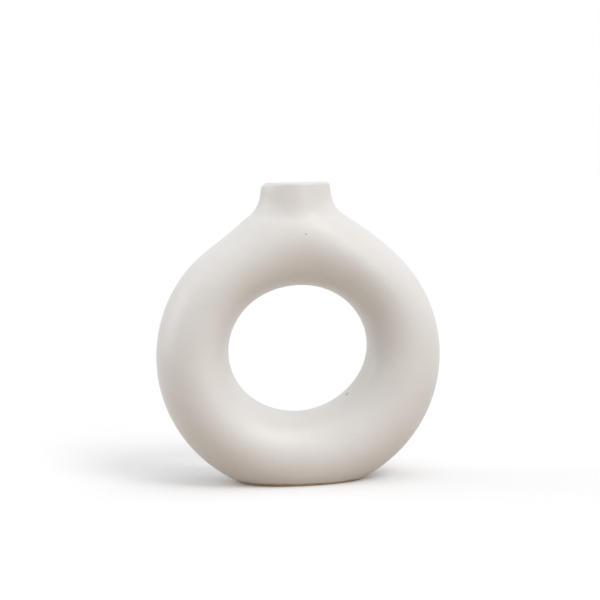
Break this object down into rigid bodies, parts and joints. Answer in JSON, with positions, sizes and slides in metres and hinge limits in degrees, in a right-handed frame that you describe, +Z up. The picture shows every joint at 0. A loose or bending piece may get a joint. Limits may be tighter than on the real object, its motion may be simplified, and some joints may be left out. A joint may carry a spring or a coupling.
{
  "type": "ring vase",
  "caption": "Upright ring-shaped ceramic flower vase: a hollow tube bent into a ring around an open hole, with a flat foot and a short round neck.",
  "frame": {"origin": "centre of the flat foot, on the surface that the vase stands on", "axes": "+Z up through the mouth, +X across the ring to the right seen from the front, -Y out of the front, along the axis of the ring's hole"},
  "size_m": [0.191, 0.064, 0.2],
  "materials": {
    "matte_glaze": "matte off-white glaze over buff stoneware, bare clay on the foot"
  },
  "bodies": {
    "root": {"front_shell": "matte_glaze", "rear_shell": "matte_glaze", "neck_collar": "matte_glaze"}
  },
  "joints": []
}
